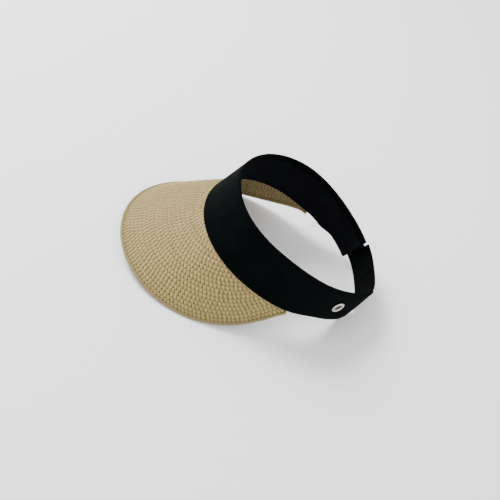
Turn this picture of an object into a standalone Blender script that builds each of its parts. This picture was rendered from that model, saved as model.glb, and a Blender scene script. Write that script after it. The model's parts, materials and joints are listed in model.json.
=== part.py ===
"""Sun visor: a woven straw brim on an open fabric headband, closed behind by a hook-and-loop strap.

The visor is laid out on its ring, the line that the foot of the headband follows. A place on the ring is an
azimuth in degrees: 0 is the front (-Y), +90 the +X side and 180 the rear. From there a point of the band is
given by its height up the leaning wall and its distance out of the wall, and a point of the brim by its
distance along the drooping straw and its distance off the straw's upper face. The finished visor is then
tipped back to the pose in which it stands on a table: on both sides of its hem and on the band's rear corner.
"""

import math

import bmesh
import bpy
import numpy as np
from mathutils import Matrix, Vector

MM = 0.001
GAP = 0.3 * MM

# Ring: an egg, fuller towards the front, whose foot line is a little lower at the front and rear.
RING_HALF_LENGTH = 97.8 * MM
RING_HALF_WIDTH = 84.6 * MM
RING_EGG = 0.10
RING_SADDLE = 3.0 * MM
# Where the fabric is pushed out of that egg or pulled into it: azimuth, spread and share of the radius.
FLAT_BEFORE_CORNER = (135.0, 18.0, -0.022)
REAR_CORNER = (163.0, 15.0, 0.048)
FLAT_BEYOND_CORNER = (-166.0, 16.0, -0.031)

# Band: the wall's lean at the front, side and rear, its height, and the height it loses towards its ends.
LEAN_FRONT, LEAN_SIDE, LEAN_REAR = 7.5, 7.2, 1.5
BAND_HEIGHT = 53.3 * MM
BAND_TOP_LOSS = 8.2 * MM
BAND_TAPER_START, BAND_TAPER_END = 72.0, 145.0
BAND_FAR_END = -141.5
BAND_NEAR_END = 163.0
FAR_STEP_START, FAR_STEP_END, FAR_STEP = -112.0, -126.0, 6.3 * MM
NEAR_CUT_START, NEAR_CUT = 150.0, 8.0 * MM
BAND_FOOT = -0.6 * MM
FOOT_ARCHES = ((120.0, 13.0, 2.5 * MM), (-108.0, 9.0, 1.6 * MM))
FAR_LEAN_START, FAR_LEAN = -122.0, 5.5

# Layers through the band, from the head outwards, measured from the middle of the wall.
LINING_OUT, LINING_THICK = -1.3 * MM, 0.8 * MM
CORE_OUT, CORE_THICK = -0.05 * MM, 1.1 * MM
COVER_OUT, COVER_THICK = 1.25 * MM, 0.9 * MM
COVER_FACE = COVER_OUT + COVER_THICK / 2
LINING_FACE = LINING_OUT - LINING_THICK / 2
MARGIN_HEIGHT = 9.0 * MM

# Brim: a crescent of straw with its droop below the ring's plane at the front and sides.
BRIM_SPAN, BRIM_FAR_SPAN = 102.0, 99.5
BRIM_FRONT = 92.5 * MM
BRIM_TIP = 2.0 * MM
BRIM_POWER, BRIM_PINCH = 0.86, 0.82
DROOP_FRONT, DROOP_SIDE = 50.5, 62.0
CURL_FRONT, CURL_SIDE = 4.7, 7.0
BRIM_THICK = 1.1 * MM
BRIM_DROP = 1.0 * MM

# Hem: a straw braid folded over the brim's edge, round a shaping filament.
HEM_WIDTH = 4.0 * MM
HEM_THICK = 0.7 * MM
MAX_SLANT = 1.9
WIRE_RADIUS = 0.6 * MM
WIRE_END = 96.0

# Strap: sewn into the near end, folded at the corner, and laid over the outside of the far end.
STRAP_FOOT, STRAP_TOP = 8.5 * MM, 43.0 * MM
STRAP_THICK = 1.6 * MM
STRAP_ROOT_START, STRAP_PIVOT = 148.0, 165.6
TONGUE_PIVOT, TONGUE_END = 214.4, 243.0
TONGUE_TOP = 36.5 * MM
TONGUE_THICK = 1.4 * MM
TAPE_THICK = 1.0 * MM
LOOP_START, LOOP_END = 219.5, 249.0
HOOK_START, HOOK_END = 220.0, 242.0
LOOP_OUT = COVER_FACE + GAP + TAPE_THICK / 2
HOOK_OUT = LOOP_OUT + TAPE_THICK + GAP
TONGUE_OUT = HOOK_OUT + TAPE_THICK / 2 + GAP + TONGUE_THICK / 2
FOLD_GAP = 0.35 * MM

# Stud: a round cup with a domed inlay, held through the band by a rivet and a washer.
STUD_AZIMUTH, STUD_HEIGHT = 133.0, 24.0 * MM
STUD_RADIUS, STUD_DEPTH = 7.0 * MM, 1.9 * MM
INLAY_RADIUS, INLAY_DEPTH = 3.8 * MM, 1.0 * MM
RIVET_RADIUS, RIVET_HOLE = 1.3 * MM, 1.7 * MM
WASHER_RADIUS, WASHER_THICK = 4.5 * MM, 0.7 * MM
WASHER_POCKET = 5.0 * MM

# Sewing thread: each seam's thread is one line that lies on the cloth, a little in from the edge.
THREAD_RADIUS = 0.35 * MM
THREAD_LIFT = THREAD_RADIUS + GAP
SEAM_INSET = 3.5 * MM
ANCHOR_ROWS = (152.0, 159.0)

# The visor's tilt on a table: its front is up by this angle.
REST_PITCH = 20.95

STRAW = (0.62, 0.53, 0.36, 1.0)
STRAW_HEM = (0.55, 0.47, 0.33, 1.0)
BLACK_TWILL = (0.012, 0.014, 0.016, 1.0)
BLACK_LINING = (0.010, 0.010, 0.014, 1.0)
BLACK_TAPE = (0.016, 0.016, 0.018, 1.0)
BLACK_THREAD = (0.022, 0.024, 0.026, 1.0)
STRAW_THREAD = (0.50, 0.42, 0.28, 1.0)
GREY_FELT = (0.20, 0.20, 0.20, 1.0)
CLEAR_NYLON = (0.70, 0.70, 0.68, 1.0)
NICKEL = (0.60, 0.59, 0.57, 1.0)
BROWN_ENAMEL = (0.06, 0.03, 0.02, 1.0)


# The ring and the two surfaces that grow from it -------------------------------------------------------------

def ease(share):
    """Smooth step from 0 to 1."""
    share = np.clip(share, 0.0, 1.0)
    return share * share * (3.0 - 2.0 * share)


def ring_xy(azimuth):
    """Plan of the band's foot: an egg, with the folded corner pushed out and its neighbours pulled in."""
    turn = np.radians(azimuth)
    fullness = 1.0
    for middle, spread, share in (FLAT_BEFORE_CORNER, REAR_CORNER, FLAT_BEYOND_CORNER):
        away = (azimuth - middle + 180.0) % 360.0 - 180.0
        fullness = fullness + share * np.exp(-0.5 * (away / spread) ** 2)
    x = RING_HALF_WIDTH * np.sin(turn) * (1.0 + RING_EGG * np.cos(turn))
    y = -RING_HALF_LENGTH * np.cos(turn)
    return np.stack([x * fullness, y * fullness], axis=-1)


def ring_frame(azimuth):
    """Foot point of the ring, and its unit vectors along the ring and out of it, in the ring's plane."""
    azimuth = np.asarray(azimuth, dtype=float)
    plan = ring_xy(azimuth)
    along = ring_xy(azimuth + 0.05) - ring_xy(azimuth - 0.05)
    along = along / np.linalg.norm(along, axis=-1, keepdims=True)
    flat = np.zeros(azimuth.shape + (1,))
    out = np.concatenate([along[..., 1:2], -along[..., 0:1], flat], axis=-1)
    along = np.concatenate([along, flat], axis=-1)
    rise = -RING_SADDLE * np.cos(2.0 * np.radians(azimuth))
    return np.concatenate([plan, rise[..., None]], axis=-1), along, out


def wall_axes(azimuth):
    """Foot point, direction up the leaning wall and direction out of it."""
    foot, _, out = ring_frame(azimuth)
    ends = np.cos(np.radians(azimuth))
    towards = np.where(ends > 0.0, LEAN_FRONT, LEAN_REAR)
    lean = np.radians(LEAN_SIDE + (towards - LEAN_SIDE) * ends ** 2)[..., None]
    up = np.array([0.0, 0.0, 1.0])
    return foot, up * np.cos(lean) - out * np.sin(lean), out * np.cos(lean) + up * np.sin(lean)


def wall_point(azimuth, out, height):
    """Point of the band, a height up the wall and a distance out of it."""
    azimuth, out, height = np.broadcast_arrays(azimuth, out, height)
    foot, rise, normal = wall_axes(azimuth)
    return foot + rise * height[..., None] + normal * out[..., None]


def band_top(azimuth):
    """Height of the band's top edge, which falls towards both ends."""
    turn = np.abs((np.asarray(azimuth) + 180.0) % 360.0 - 180.0)
    taper = ease((turn - BAND_TAPER_START) / (BAND_TAPER_END - BAND_TAPER_START))
    return BAND_HEIGHT - BAND_TOP_LOSS * taper


def band_foot(azimuth):
    """Height of the band's lower edge: a low arch on each side, a step at the far end and a cut at the near end."""
    azimuth = np.asarray(azimuth, dtype=float)
    step = FAR_STEP * ease((azimuth - FAR_STEP_START) / (FAR_STEP_END - FAR_STEP_START))
    cut = NEAR_CUT * np.clip((azimuth - NEAR_CUT_START) / (BAND_NEAR_END - NEAR_CUT_START), 0.0, 1.0)
    arches = sum(height * np.exp(-((azimuth - middle) / reach) ** 2) for middle, reach, height in FOOT_ARCHES)
    return BAND_FOOT + step + cut + arches


def leaned(azimuth, height):
    """Azimuth of a place on the band at this height, whose far end leans on towards the rear at its top."""
    share = np.clip((FAR_LEAN_START - azimuth) / (FAR_LEAN_START - BAND_FAR_END), 0.0, 1.0)
    return azimuth - FAR_LEAN * share * height / BAND_HEIGHT


def brim_length(azimuth):
    """Length of the straw from the band to the edge, widest at the front and pinched towards its tips."""
    turn = np.minimum(np.abs(azimuth) / np.where(azimuth < 0.0, BRIM_FAR_SPAN, BRIM_SPAN), 1.0)
    share = (1.0 - turn ** 2) ** BRIM_POWER * (1.0 - BRIM_PINCH * turn ** 10)
    return BRIM_TIP + (BRIM_FRONT - BRIM_TIP) * share


def brim_point(azimuth, along, off):
    """Point of the brim: its section is an arc that starts at the droop angle and curls down a little more."""
    azimuth, along, off = np.broadcast_arrays(azimuth, along, off)
    foot, rise, normal = wall_axes(azimuth)
    _, _, out = ring_frame(azimuth)
    side = np.sin(np.radians(azimuth)) ** 2
    droop = np.radians(DROOP_FRONT + (DROOP_SIDE - DROOP_FRONT) * side)
    curl = np.radians(CURL_FRONT + (CURL_SIDE - CURL_FRONT) * side) / BRIM_FRONT
    angle = droop + curl * along
    forward = (np.sin(angle) - np.sin(droop)) / curl + off * np.sin(angle)
    down = (np.cos(droop) - np.cos(angle)) / curl - off * np.cos(angle)
    start = foot + normal * CORE_OUT - rise * BRIM_DROP
    return start + out * forward[..., None] - np.array([0.0, 0.0, 1.0]) * down[..., None]


def spread(start, end, step):
    """Azimuths from start to end, about a step apart."""
    return np.linspace(start, end, max(2, int(round(abs(end - start) / step)) + 1))


def edge_slant(azimuth):
    """How much longer a way across the hem is at this azimuth than square across it, because the edge slants."""
    step = 0.2
    after, before = azimuth + step, azimuth - step
    edge = brim_point(after, brim_length(after), 0.0) - brim_point(before, brim_length(before), 0.0)
    run = np.linalg.norm(edge, axis=-1)
    climb = brim_length(after) - brim_length(before)
    return np.minimum(run / np.sqrt(np.maximum(run ** 2 - climb ** 2, 1e-12)), MAX_SLANT)


def brim_stations(count=67):
    """Azimuths across the brim, closer together towards its tips."""
    return BRIM_SPAN * np.sin(np.radians(np.linspace(-90.0, 90.0, count)))


# Making objects ----------------------------------------------------------------------------------------------

def clear_scene():
    for item in list(bpy.data.objects):
        bpy.data.objects.remove(item, do_unlink=True)


def new_collection(name):
    collection = bpy.data.collections.new(name)
    bpy.context.scene.collection.children.link(collection)
    return collection


def finish(name, colour, finish_values, pivot=None):
    """Link the mesh as one named part with its own material, its origin on the pivot that it turns about."""
    mesh = bpy.data.meshes[name]
    item = bpy.data.objects.new(name, mesh)
    visor.objects.link(item)
    item.parent = stand
    if pivot is not None:
        mesh.transform(Matrix.Translation(-pivot))
        item.location = pivot
    material = bpy.data.materials.new(name)
    material.use_nodes = True
    shader = material.node_tree.nodes["Principled BSDF"]
    roughness, metallic = finish_values
    shader.inputs["Base Color"].default_value = colour
    shader.inputs["Roughness"].default_value = roughness
    shader.inputs["Metallic"].default_value = metallic
    mesh.materials.append(material)
    return item


CLOTH = (0.9, 0.0)
PLASTIC = (0.4, 0.0)
METAL = (0.25, 1.0)


def mesh_from_bmesh(name, shape):
    mesh = bpy.data.meshes.new(name)
    shape.to_mesh(mesh)
    shape.free()
    return mesh


def layer(name, colour, rows, thickness, pivot=None):
    """A ply of cloth or straw: an open surface through rows of points, thickened by half to each side."""
    count, width, _ = rows.shape
    shape = bmesh.new()
    verts = [shape.verts.new(point) for point in rows.reshape(-1, 3)]
    for row in range(count - 1):
        for column in range(width - 1):
            corner = row * width + column
            shape.faces.new([verts[corner], verts[corner + 1],
                             verts[corner + width + 1], verts[corner + width]])
    mesh_from_bmesh(name, shape)
    item = finish(name, colour, CLOTH, pivot)
    ply = item.modifiers.new("thickness", "SOLIDIFY")
    ply.thickness = thickness
    ply.offset = 0.0
    ply.use_even_offset = True
    return item


def wall_layer(name, colour, azimuths, out, low, high, thickness, pivot=None):
    """A ply that stands in the band's wall, between a low and a high edge."""
    heights = np.stack([low, (low + high) / 2.0, high], axis=0)
    return layer(name, colour, wall_point(leaned(azimuths, heights), out, heights), thickness, pivot)


def loft(name, colour, finish_values, sections):
    """A solid through closed sections of equal point counts, with both ends capped."""
    shape = bmesh.new()
    rings = [[shape.verts.new(point) for point in section] for section in sections]
    for before, after in zip(rings, rings[1:]):
        for index, corner in enumerate(before):
            following = (index + 1) % len(before)
            shape.faces.new([corner, before[following], after[following], after[index]])
    shape.faces.new(list(reversed(rings[0])))
    shape.faces.new(rings[-1])
    bmesh.ops.recalc_face_normals(shape, faces=shape.faces)
    mesh_from_bmesh(name, shape)
    return finish(name, colour, finish_values)


def tube(name, colour, finish_values, points, radius, resolution, pivot=None):
    """A filament or thread: a round wire along a line of points, with closed ends."""
    curve = bpy.data.curves.new(name + "_path", "CURVE")
    curve.dimensions = "3D"
    curve.bevel_depth = radius
    curve.bevel_resolution = resolution
    curve.use_fill_caps = True
    spline = curve.splines.new("POLY")
    spline.points.add(len(points) - 1)
    for target, point in zip(spline.points, points):
        target.co = (*point, 1.0)
    path = bpy.data.objects.new(name + "_path", curve)
    visor.objects.link(path)
    bpy.context.view_layer.update()
    drawn = path.evaluated_get(bpy.context.evaluated_depsgraph_get())
    wire = bpy.data.meshes.new_from_object(drawn)
    bpy.data.objects.remove(path)
    shape = bmesh.new()
    shape.from_mesh(wire)
    bmesh.ops.remove_doubles(shape, verts=shape.verts, dist=0.01 * MM)
    mesh_from_bmesh(name, shape)
    return finish(name, colour, finish_values, pivot)


def thread(name, colour, points, pivot=None):
    return tube(name, colour, CLOTH, points, THREAD_RADIUS, 0, pivot)


def box_path(start, end, out, step=3.0):
    """Line round the edge of a tape, up both ends and along both sides, ending just short of its start."""
    low, high = STRAP_FOOT + 4.0 * MM, TONGUE_TOP - 4.0 * MM
    inset = 1.5
    level = spread(start + inset, end - inset, step)
    ends = np.linspace(0.0, 1.0, 4)[1:-1]
    upright = low + (high - low) * ends
    azimuth = np.concatenate([level, np.full(2, level[-1]), level[::-1], np.full(2, level[0])])
    height = np.concatenate([np.full(len(level), low), upright, np.full(len(level), high), upright[::-1]])
    return wall_point(azimuth, out, height)


# The pieces --------------------------------------------------------------------------------------------------

def make_brim():
    """Straw shell, with its inner margin turned up between the band's plies."""
    azimuths = brim_stations()
    margin = [wall_point(azimuths, CORE_OUT, height) for height in (MARGIN_HEIGHT, MARGIN_HEIGHT / 3.0)]
    length = brim_length(azimuths)
    straw = [brim_point(azimuths, length * share, 0.0) for share in np.linspace(0.0, 1.0, 10)]
    layer("brim_straw", STRAW, np.stack(margin + straw, axis=0), BRIM_THICK)


def hem_section(azimuth):
    """U-shaped section that wraps the edge: up the outside of the fold and back down the inside."""
    length = brim_length(azimuth)
    slant = edge_slant(azimuth)
    start = length - min(HEM_WIDTH * slant, length - BRIM_TIP / 2.0)
    inner = BRIM_THICK / 2.0 + GAP
    outer = inner + HEM_THICK
    reach = length + (GAP + 2.0 * WIRE_RADIUS + GAP) * slant
    end = reach + HEM_THICK * slant
    outside = [(start, outer), (end - outer / 1.5, outer), (end, outer / 2.0),
               (end, -outer / 2.0), (end - outer / 1.5, -outer), (start, -outer)]
    inside = [(start, -inner), (reach - inner / 2.0, -inner), (reach, -inner / 2.0),
              (reach, inner / 2.0), (reach - inner / 2.0, inner), (start, inner)]
    section = np.array(outside + inside)
    return brim_point(azimuth, section[:, 0], section[:, 1])


def make_hem():
    """Folded braid, the filament inside its fold, and the thread through it."""
    azimuths = brim_stations()
    loft("brim_hem", STRAW_HEM, CLOTH, [hem_section(azimuth) for azimuth in azimuths])

    azimuths = azimuths[np.abs(azimuths) < WIRE_END]
    middle = (GAP + WIRE_RADIUS) * edge_slant(azimuths)
    fold = brim_point(azimuths, brim_length(azimuths) + middle, 0.0)
    tube("brim_wire", CLEAR_NYLON, PLASTIC, fold, WIRE_RADIUS, 2)

    reach = brim_length(azimuths) - (HEM_WIDTH - 1.5 * MM) * edge_slant(azimuths)
    face = BRIM_THICK / 2.0 + GAP + HEM_THICK
    thread("hem_stitches", STRAW_THREAD, brim_point(azimuths, reach, face + THREAD_LIFT))


def make_band():
    """Cover turned in over the top edge, core between the plies, lining against the head, and its seams."""
    azimuths = spread(BAND_FAR_END, BAND_NEAR_END, 3.0)
    top, foot = band_top(azimuths), band_foot(azimuths)
    lip = top - COVER_THICK / 2.0
    cover = [wall_point(leaned(azimuths, level), COVER_OUT, level) for level in (foot, (foot + lip) / 2.0, lip)]
    cover.append(wall_point(leaned(azimuths, lip), LINING_FACE, lip))
    cover = layer("band_cover", BLACK_TWILL, np.stack(cover, axis=0), COVER_THICK)
    under_lip = top - COVER_THICK - GAP
    wall_layer("band_lining", BLACK_LINING, azimuths, LINING_OUT, foot + 0.5 * MM, under_lip, LINING_THICK)

    azimuths = spread(BAND_FAR_END + 1.0, STRAP_ROOT_START - 2.0, 3.0)
    low = np.maximum(band_foot(azimuths) + 1.0 * MM, MARGIN_HEIGHT + 1.0 * MM)
    high = band_top(azimuths) - COVER_THICK - GAP
    core = wall_layer("band_stiffener", GREY_FELT, azimuths, CORE_OUT, low, high, CORE_THICK)

    azimuths = spread(BAND_FAR_END + 2.0, BAND_NEAR_END - 2.0, 3.0)
    level = band_top(azimuths) - SEAM_INSET
    thread("band_top_stitches", BLACK_THREAD,
           wall_point(leaned(azimuths, level), COVER_FACE + THREAD_LIFT, level))
    azimuths = spread(-BRIM_SPAN, BRIM_SPAN, 3.0)
    thread("brim_seam_stitches", BLACK_THREAD,
           wall_point(azimuths, COVER_FACE + THREAD_LIFT, SEAM_INSET))
    return cover, core


def pivot_at(azimuth, out):
    """Point on a fold line that runs up the wall, level with the band's foot."""
    return Vector(wall_point(np.array([azimuth]), out, 0.0)[0])


def strap_out(azimuth):
    """Distance of the strap's middle from the wall's middle: it leaves the core and passes over the far end."""
    return CORE_OUT + (TONGUE_OUT - CORE_OUT) * ease((azimuth - STRAP_PIVOT) / (TONGUE_PIVOT - STRAP_PIVOT))


def degrees_for(length, azimuth):
    """Azimuth step that covers a length along the ring."""
    return length / np.linalg.norm(ring_xy(azimuth + 1.0) - ring_xy(azimuth))


def make_strap():
    """Strap in three lengths that meet at its two folds, with its tapes and their stitching."""
    swing, peel = pivot_at(STRAP_PIVOT, CORE_OUT), pivot_at(TONGUE_PIVOT, TONGUE_OUT)
    clear = STRAP_THICK / 2.0 + FOLD_GAP

    turn = spread(STRAP_ROOT_START, STRAP_PIVOT - degrees_for(clear, STRAP_PIVOT), 2.5)
    edge = np.full(turn.shape, STRAP_FOOT + 0.6 * MM)
    wall_layer("strap_root", BLACK_TAPE, turn, CORE_OUT, edge, edge * 0.0 + STRAP_TOP - 0.3 * MM, CORE_THICK)

    turn = spread(STRAP_PIVOT, TONGUE_PIVOT - degrees_for(clear, TONGUE_PIVOT), 2.5)
    edge = np.full(turn.shape, STRAP_FOOT)
    wall_layer("strap_web", BLACK_TAPE, turn, strap_out(turn), edge, edge * 0.0 + STRAP_TOP,
               STRAP_THICK, swing)

    turn = spread(TONGUE_PIVOT, TONGUE_END, 2.5)
    edge = np.full(turn.shape, STRAP_FOOT)
    wall_layer("strap_tongue", BLACK_TAPE, turn, TONGUE_OUT, edge, edge * 0.0 + TONGUE_TOP,
               TONGUE_THICK, peel)

    turn = spread(HOOK_START, HOOK_END, 2.5)
    low, high = np.full(turn.shape, STRAP_FOOT + 2.0 * MM), np.full(turn.shape, TONGUE_TOP - 2.0 * MM)
    wall_layer("hook_tape", BLACK_TAPE, turn, HOOK_OUT, low, high, TAPE_THICK, peel)

    turn = spread(LOOP_START, LOOP_END, 2.5)
    low, high = np.full(turn.shape, STRAP_FOOT + 1.0 * MM), np.full(turn.shape, TONGUE_TOP - 1.0 * MM)
    wall_layer("loop_tape", BLACK_TAPE, turn, LOOP_OUT, low, high, TAPE_THICK)

    face = TONGUE_OUT + TONGUE_THICK / 2.0
    thread("hook_tape_stitches", BLACK_THREAD, box_path(HOOK_START, HOOK_END, face + THREAD_LIFT), peel)
    thread("loop_tape_stitches", BLACK_THREAD, box_path(LOOP_START, LOOP_END, LINING_FACE - THREAD_LIFT))

    foot, top, reach = STRAP_FOOT + 3.0 * MM, STRAP_TOP - 5.0 * MM, np.linspace(0.0, 1.0, 6)
    azimuth = np.concatenate([np.full(6, ANCHOR_ROWS[0]), np.full(6, ANCHOR_ROWS[1])])
    height = np.concatenate([foot + (top - foot) * reach, top - (top - foot) * reach])
    thread("strap_anchor_stitches", BLACK_THREAD,
           wall_point(azimuth, COVER_FACE + THREAD_LIFT, height))


def turned(name, colour, finish_values, profile, place):
    """A turned piece: a closed-off profile of radius and height spun about the stud's axis."""
    shape = bmesh.new()
    verts = [shape.verts.new((radius, 0.0, height)) for radius, height in profile]
    for before, after in zip(verts, verts[1:]):
        shape.edges.new([before, after])
    mesh_from_bmesh(name, shape)
    item = finish(name, colour, finish_values)
    item.matrix_local = place
    spin = item.modifiers.new("spin", "SCREW")
    spin.steps = spin.render_steps = 32
    spin.use_merge_vertices = True
    spin.merge_threshold = 0.01 * MM
    spin.use_smooth_shade = True
    return item


def cut_round(item, radius, place):
    """Cut a round hole along the stud's axis."""
    bpy.ops.mesh.primitive_cylinder_add(vertices=24, radius=radius, depth=12.0 * MM)
    cutter = bpy.context.active_object
    cutter.name = item.name + "_hole"
    for owner in list(cutter.users_collection):
        owner.objects.unlink(cutter)
    cutters.objects.link(cutter)
    cutter.parent = stand
    cutter.matrix_local = place
    cutter.hide_render = True
    cutter.display_type = "WIRE"
    cut = item.modifiers.new("hole", "BOOLEAN")
    cut.operation = "DIFFERENCE"
    cut.object = cutter


def make_stud(cover, core):
    """Stud by the near end: a cup on the cover, its inlay, and a rivet through the plies to a washer."""
    foot, rise, normal = (Vector(axis[0]) for axis in wall_axes(np.array([STUD_AZIMUTH])))
    turn = Matrix((rise.cross(normal), rise, normal)).transposed().to_4x4()
    place = Matrix.Translation(foot + rise * STUD_HEIGHT) @ turn
    cut_round(cover, RIVET_HOLE, place)
    cut_round(core, WASHER_POCKET, place)

    back = COVER_FACE + GAP + 0.1 * MM
    front = back + STUD_DEPTH
    floor = front - INLAY_DEPTH
    lip = INLAY_RADIUS + GAP
    crown = [(lip + (STUD_RADIUS - lip) * (0.5 - 0.5 * math.cos(math.radians(angle))),
              floor + (front - floor) * math.sin(math.radians(angle))) for angle in range(20, 161, 20)]
    cup = [(0.0, floor), (lip, floor)] + crown + [(STUD_RADIUS, floor), (STUD_RADIUS - 0.3 * MM, back),
                                                 (0.0, back)]
    turned("badge_bezel", NICKEL, METAL, cup, place)

    seat = floor + GAP
    dome = [(INLAY_RADIUS * math.cos(math.radians(angle)),
             seat + 0.2 * MM + 0.35 * MM * math.sin(math.radians(angle))) for angle in range(90, -1, -15)]
    turned("badge_inlay", BROWN_ENAMEL, PLASTIC, dome + [(INLAY_RADIUS, seat), (0.0, seat)], place)

    tail = CORE_OUT - WASHER_THICK / 2.0
    shank = [(0.0, back - GAP), (RIVET_RADIUS, back - GAP), (RIVET_RADIUS, tail), (0.0, tail)]
    turned("badge_rivet", NICKEL, METAL, shank, place)

    bore, rim, half = RIVET_HOLE, WASHER_RADIUS, WASHER_THICK / 2.0
    plate = [(bore, CORE_OUT + half), (rim, CORE_OUT + half), (rim, CORE_OUT - half),
             (bore, CORE_OUT - half), (bore, CORE_OUT + half)]
    turned("badge_washer", NICKEL, METAL, plate, place)


def stand_on_table():
    """Tip the visor back and set it with the middle of its box over the origin and its lowest point at zero."""
    stand.rotation_euler = (-math.radians(REST_PITCH), 0.0, 0.0)
    bpy.context.view_layer.update()
    graph = bpy.context.evaluated_depsgraph_get()
    corners = []
    for item in visor.objects:
        if item.type != "MESH":
            continue
        shown = item.evaluated_get(graph)
        mesh = shown.to_mesh()
        points = np.empty(len(mesh.vertices) * 3)
        mesh.vertices.foreach_get("co", points)
        world = np.array(shown.matrix_world)
        corners.append(points.reshape(-1, 3) @ world[:3, :3].T + world[:3, 3])
        shown.to_mesh_clear()
    corners = np.concatenate(corners)
    low, high = corners.min(axis=0), corners.max(axis=0)
    stand.location = (-(low[0] + high[0]) / 2.0, -(low[1] + high[1]) / 2.0, -low[2])
    bpy.context.view_layer.update()


clear_scene()
visor = new_collection("sun_visor")
cutters = new_collection("cutters")
stand = bpy.data.objects.new("stand", None)
visor.objects.link(stand)

make_brim()
make_hem()
band_cover, band_core = make_band()
make_strap()
make_stud(band_cover, band_core)
stand_on_table()
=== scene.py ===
"""Sun visor: plaited straw brim, black fabric headband, and a rear strap that closes with hook and loop."""

import json
import math

import bpy
import numpy as np
from mathutils import Matrix, Vector


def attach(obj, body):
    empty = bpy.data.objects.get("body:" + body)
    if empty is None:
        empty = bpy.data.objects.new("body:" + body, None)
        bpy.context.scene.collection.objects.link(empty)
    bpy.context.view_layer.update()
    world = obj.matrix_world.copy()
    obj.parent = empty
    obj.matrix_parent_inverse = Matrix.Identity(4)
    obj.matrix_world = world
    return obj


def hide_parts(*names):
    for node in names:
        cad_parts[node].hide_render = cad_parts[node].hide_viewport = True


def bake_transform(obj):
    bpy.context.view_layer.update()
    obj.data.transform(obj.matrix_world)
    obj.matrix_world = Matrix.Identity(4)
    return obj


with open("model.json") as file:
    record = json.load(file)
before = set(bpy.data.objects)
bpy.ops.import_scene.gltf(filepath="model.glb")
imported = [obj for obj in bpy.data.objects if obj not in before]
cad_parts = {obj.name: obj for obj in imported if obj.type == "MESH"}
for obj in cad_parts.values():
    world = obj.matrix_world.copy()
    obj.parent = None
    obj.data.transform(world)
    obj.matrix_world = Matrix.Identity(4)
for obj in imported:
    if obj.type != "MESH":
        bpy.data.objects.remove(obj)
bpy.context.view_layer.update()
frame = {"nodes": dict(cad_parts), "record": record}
nodes = frame["nodes"]
MM = 0.001


# Camera, floor and light ------------------------------------------------------------------------------------
# The visor lies on a white table and is looked down on from its +X side, with the camera turned
# so that the front of the brim hangs to the left. Two soft boxes and a white room light it.

EYE = (0.7227, -0.0498, 0.6667)
VIEW_TURN, VIEW_DROP, VIEW_ROLL = 4.08, 41.83, 21.02
LENS, SENSOR = 64.62, 36.0
AIM = Vector((0.0, 0.0, 0.04))
ROOM_STRENGTH, TABLE_HALF, TABLE_WHITE = 1.35, 3.0, 0.92

turn, drop, roll = (math.radians(angle) for angle in (VIEW_TURN, VIEW_DROP, VIEW_ROLL))
back = Vector((math.cos(turn) * math.cos(drop), -math.sin(turn) * math.cos(drop), math.sin(drop)))
level = Vector((math.sin(turn), math.cos(turn), 0.0))
over = back.cross(level)
right = level * math.cos(roll) + over * math.sin(roll)
camera = bpy.data.objects.new("camera", bpy.data.cameras.new("camera"))
camera.data.lens = LENS
camera.data.sensor_width = SENSOR
axes = Matrix((right, back.cross(right), back)).transposed()
camera.matrix_world = Matrix.Translation(EYE) @ axes.to_4x4()
bpy.context.scene.collection.objects.link(camera)
bpy.context.scene.camera = camera


def soft_box(name, place, size, watts):
    """A square area light of the given side, aimed at the visor."""
    light = bpy.data.lights.new(name, "AREA")
    light.size = size
    light.energy = watts
    item = bpy.data.objects.new(name, light)
    item.location = place
    item.rotation_euler = (AIM - Vector(place)).to_track_quat("-Z", "Y").to_euler()
    bpy.context.scene.collection.objects.link(item)


def finish_of(name, **values):
    """A new material, its node tree and its shader, with the constant values set on its sockets."""
    material = bpy.data.materials.new(name)
    material.use_nodes = True
    tree = material.node_tree
    shader = tree.nodes["Principled BSDF"]
    for key, value in values.items():
        shader.inputs[key.replace("_", " ")].default_value = value
    return material, tree, shader


soft_box("key_light", (-0.7, -1.1, 1.3), 0.9, 62.0)
soft_box("fill_light", (1.2, 0.7, 1.0), 1.2, 4.0)
room = bpy.data.worlds.new("room")
room.use_nodes = True
room.node_tree.nodes["Background"].inputs["Color"].default_value = (1.0, 1.0, 1.0, 1.0)
room.node_tree.nodes["Background"].inputs["Strength"].default_value = ROOM_STRENGTH
bpy.context.scene.world = room

floor_mesh = bpy.data.meshes.new("table_top")
corners = [(x * TABLE_HALF, y * TABLE_HALF, 0.0) for x, y in ((-1, -1), (1, -1), (1, 1), (-1, 1))]
floor_mesh.from_pydata(corners, [], [(0, 1, 2, 3)])
floor = bpy.data.objects.new("table_top", floor_mesh)
bpy.context.scene.collection.objects.link(floor)
white = finish_of("white_table", Base_Color=(TABLE_WHITE, TABLE_WHITE, TABLE_WHITE, 1.0), Roughness=0.8)[0]
floor_mesh.materials.append(white)


# Plaited straw brim -----------------------------------------------------------------------------------------
# Flat paper straws are plaited three together into a narrow braid. The braid is sewn row beside row, each
# row lapped over the next one out, in rows that follow the brim's outer edge and run in under the band.

# The ring that the foot of the band follows, the wall of the band and the drooping brim. Angles are in
# degrees round the ring from the front, positive towards +X. A bump of fullness has a middle, a spread and a
# share of the radius.
HALF_LENGTH, HALF_WIDTH, EGG, SADDLE = 97.8 * MM, 84.6 * MM, 0.10, 3.0 * MM
FULLNESS = ((135.0, 18.0, -0.022), (163.0, 15.0, 0.048), (-166.0, 16.0, -0.031))
LEAN_FRONT, LEAN_SIDE, LEAN_REAR = 7.5, 7.2, 1.5
CORE_OUT = -0.05 * MM
BRIM_SPAN, FAR_SPAN = 102.0, 99.5
BRIM_FRONT, BRIM_TIP, BRIM_POWER, BRIM_PINCH = 92.5 * MM, 2.0 * MM, 0.86, 0.82
DROOP_FRONT, DROOP_SIDE, CURL_FRONT, CURL_SIDE = 50.5, 62.0, 4.7, 7.0
BRIM_DROP, MAX_SLANT = 1.0 * MM, 1.9
TURN_UP_START, TURN_UP_RUN = 2.0 * MM, 3.0 * MM
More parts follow.
